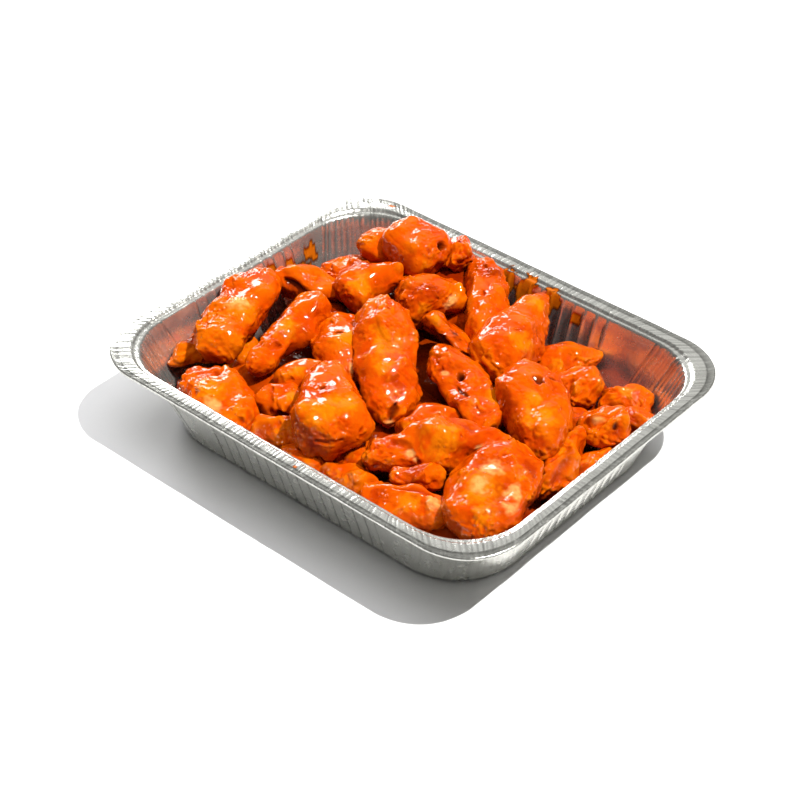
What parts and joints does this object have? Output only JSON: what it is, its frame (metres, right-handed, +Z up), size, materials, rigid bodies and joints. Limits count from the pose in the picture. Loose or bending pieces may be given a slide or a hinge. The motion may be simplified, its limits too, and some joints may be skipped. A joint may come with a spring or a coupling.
{
  "type": "chicken wings in a foil tray",
  "caption": "Heap of sauced chicken wing pieces, drumettes and flats, in a half-size rolled-rim foil tray with fluted walls.",
  "frame": {"origin": "middle of the tray's underside, on the surface it stands on", "axes": "+X along the tray's long side, +Y along its short side, +Z up"},
  "size_m": [0.324, 0.264, 0.0811],
  "materials": {
    "foil": "bright stamped foil, crimped and slightly creased",
    "sauced_skin": "wet glossy orange-red sauce over browned skin"
  },
  "bodies": {
    "root": {"foil_tray": "foil", "flat_01": "sauced_skin", "flat_02": "sauced_skin", "drumette_03": "sauced_skin", "flat_04": "sauced_skin", "piece_05": "sauced_skin", "flat_06": "sauced_skin", "flat_07": "sauced_skin", "piece_08": "sauced_skin", "piece_09": "sauced_skin", "flat_10": "sauced_skin", "drumette_11": "sauced_skin", "drumette_12": "sauced_skin", "flat_13": "sauced_skin", "flat_14": "sauced_skin", "piece_15": "sauced_skin", "drumette_16": "sauced_skin", "piece_17": "sauced_skin", "drumette_18": "sauced_skin", "drumette_19": "sauced_skin", "flat_20": "sauced_skin", "flat_21": "sauced_skin", "flat_22": "sauced_skin", "drumette_23": "sauced_skin", "piece_24": "sauced_skin", "flat_25": "sauced_skin", "drumette_26": "sauced_skin", "flat_27": "sauced_skin", "piece_28": "sauced_skin", "piece_29": "sauced_skin", "drumette_30": "sauced_skin", "piece_31": "sauced_skin", "flat_32": "sauced_skin", "flat_33": "sauced_skin", "flat_34": "sauced_skin", "piece_35": "sauced_skin", "drumette_36": "sauced_skin", "flat_37": "sauced_skin", "piece_38": "sauced_skin", "flat_39": "sauced_skin", "piece_40": "sauced_skin", "piece_41": "sauced_skin", "flat_42": "sauced_skin", "under_43": "sauced_skin", "under_44": "sauced_skin", "under_45": "sauced_skin", "under_46": "sauced_skin", "under_47": "sauced_skin", "under_48": "sauced_skin", "under_49": "sauced_skin", "under_50": "sauced_skin", "under_51": "sauced_skin", "under_52": "sauced_skin", "under_53": "sauced_skin", "under_54": "sauced_skin", "under_55": "sauced_skin", "under_56": "sauced_skin", "under_57": "sauced_skin", "under_58": "sauced_skin"}
  },
  "joints": []
}
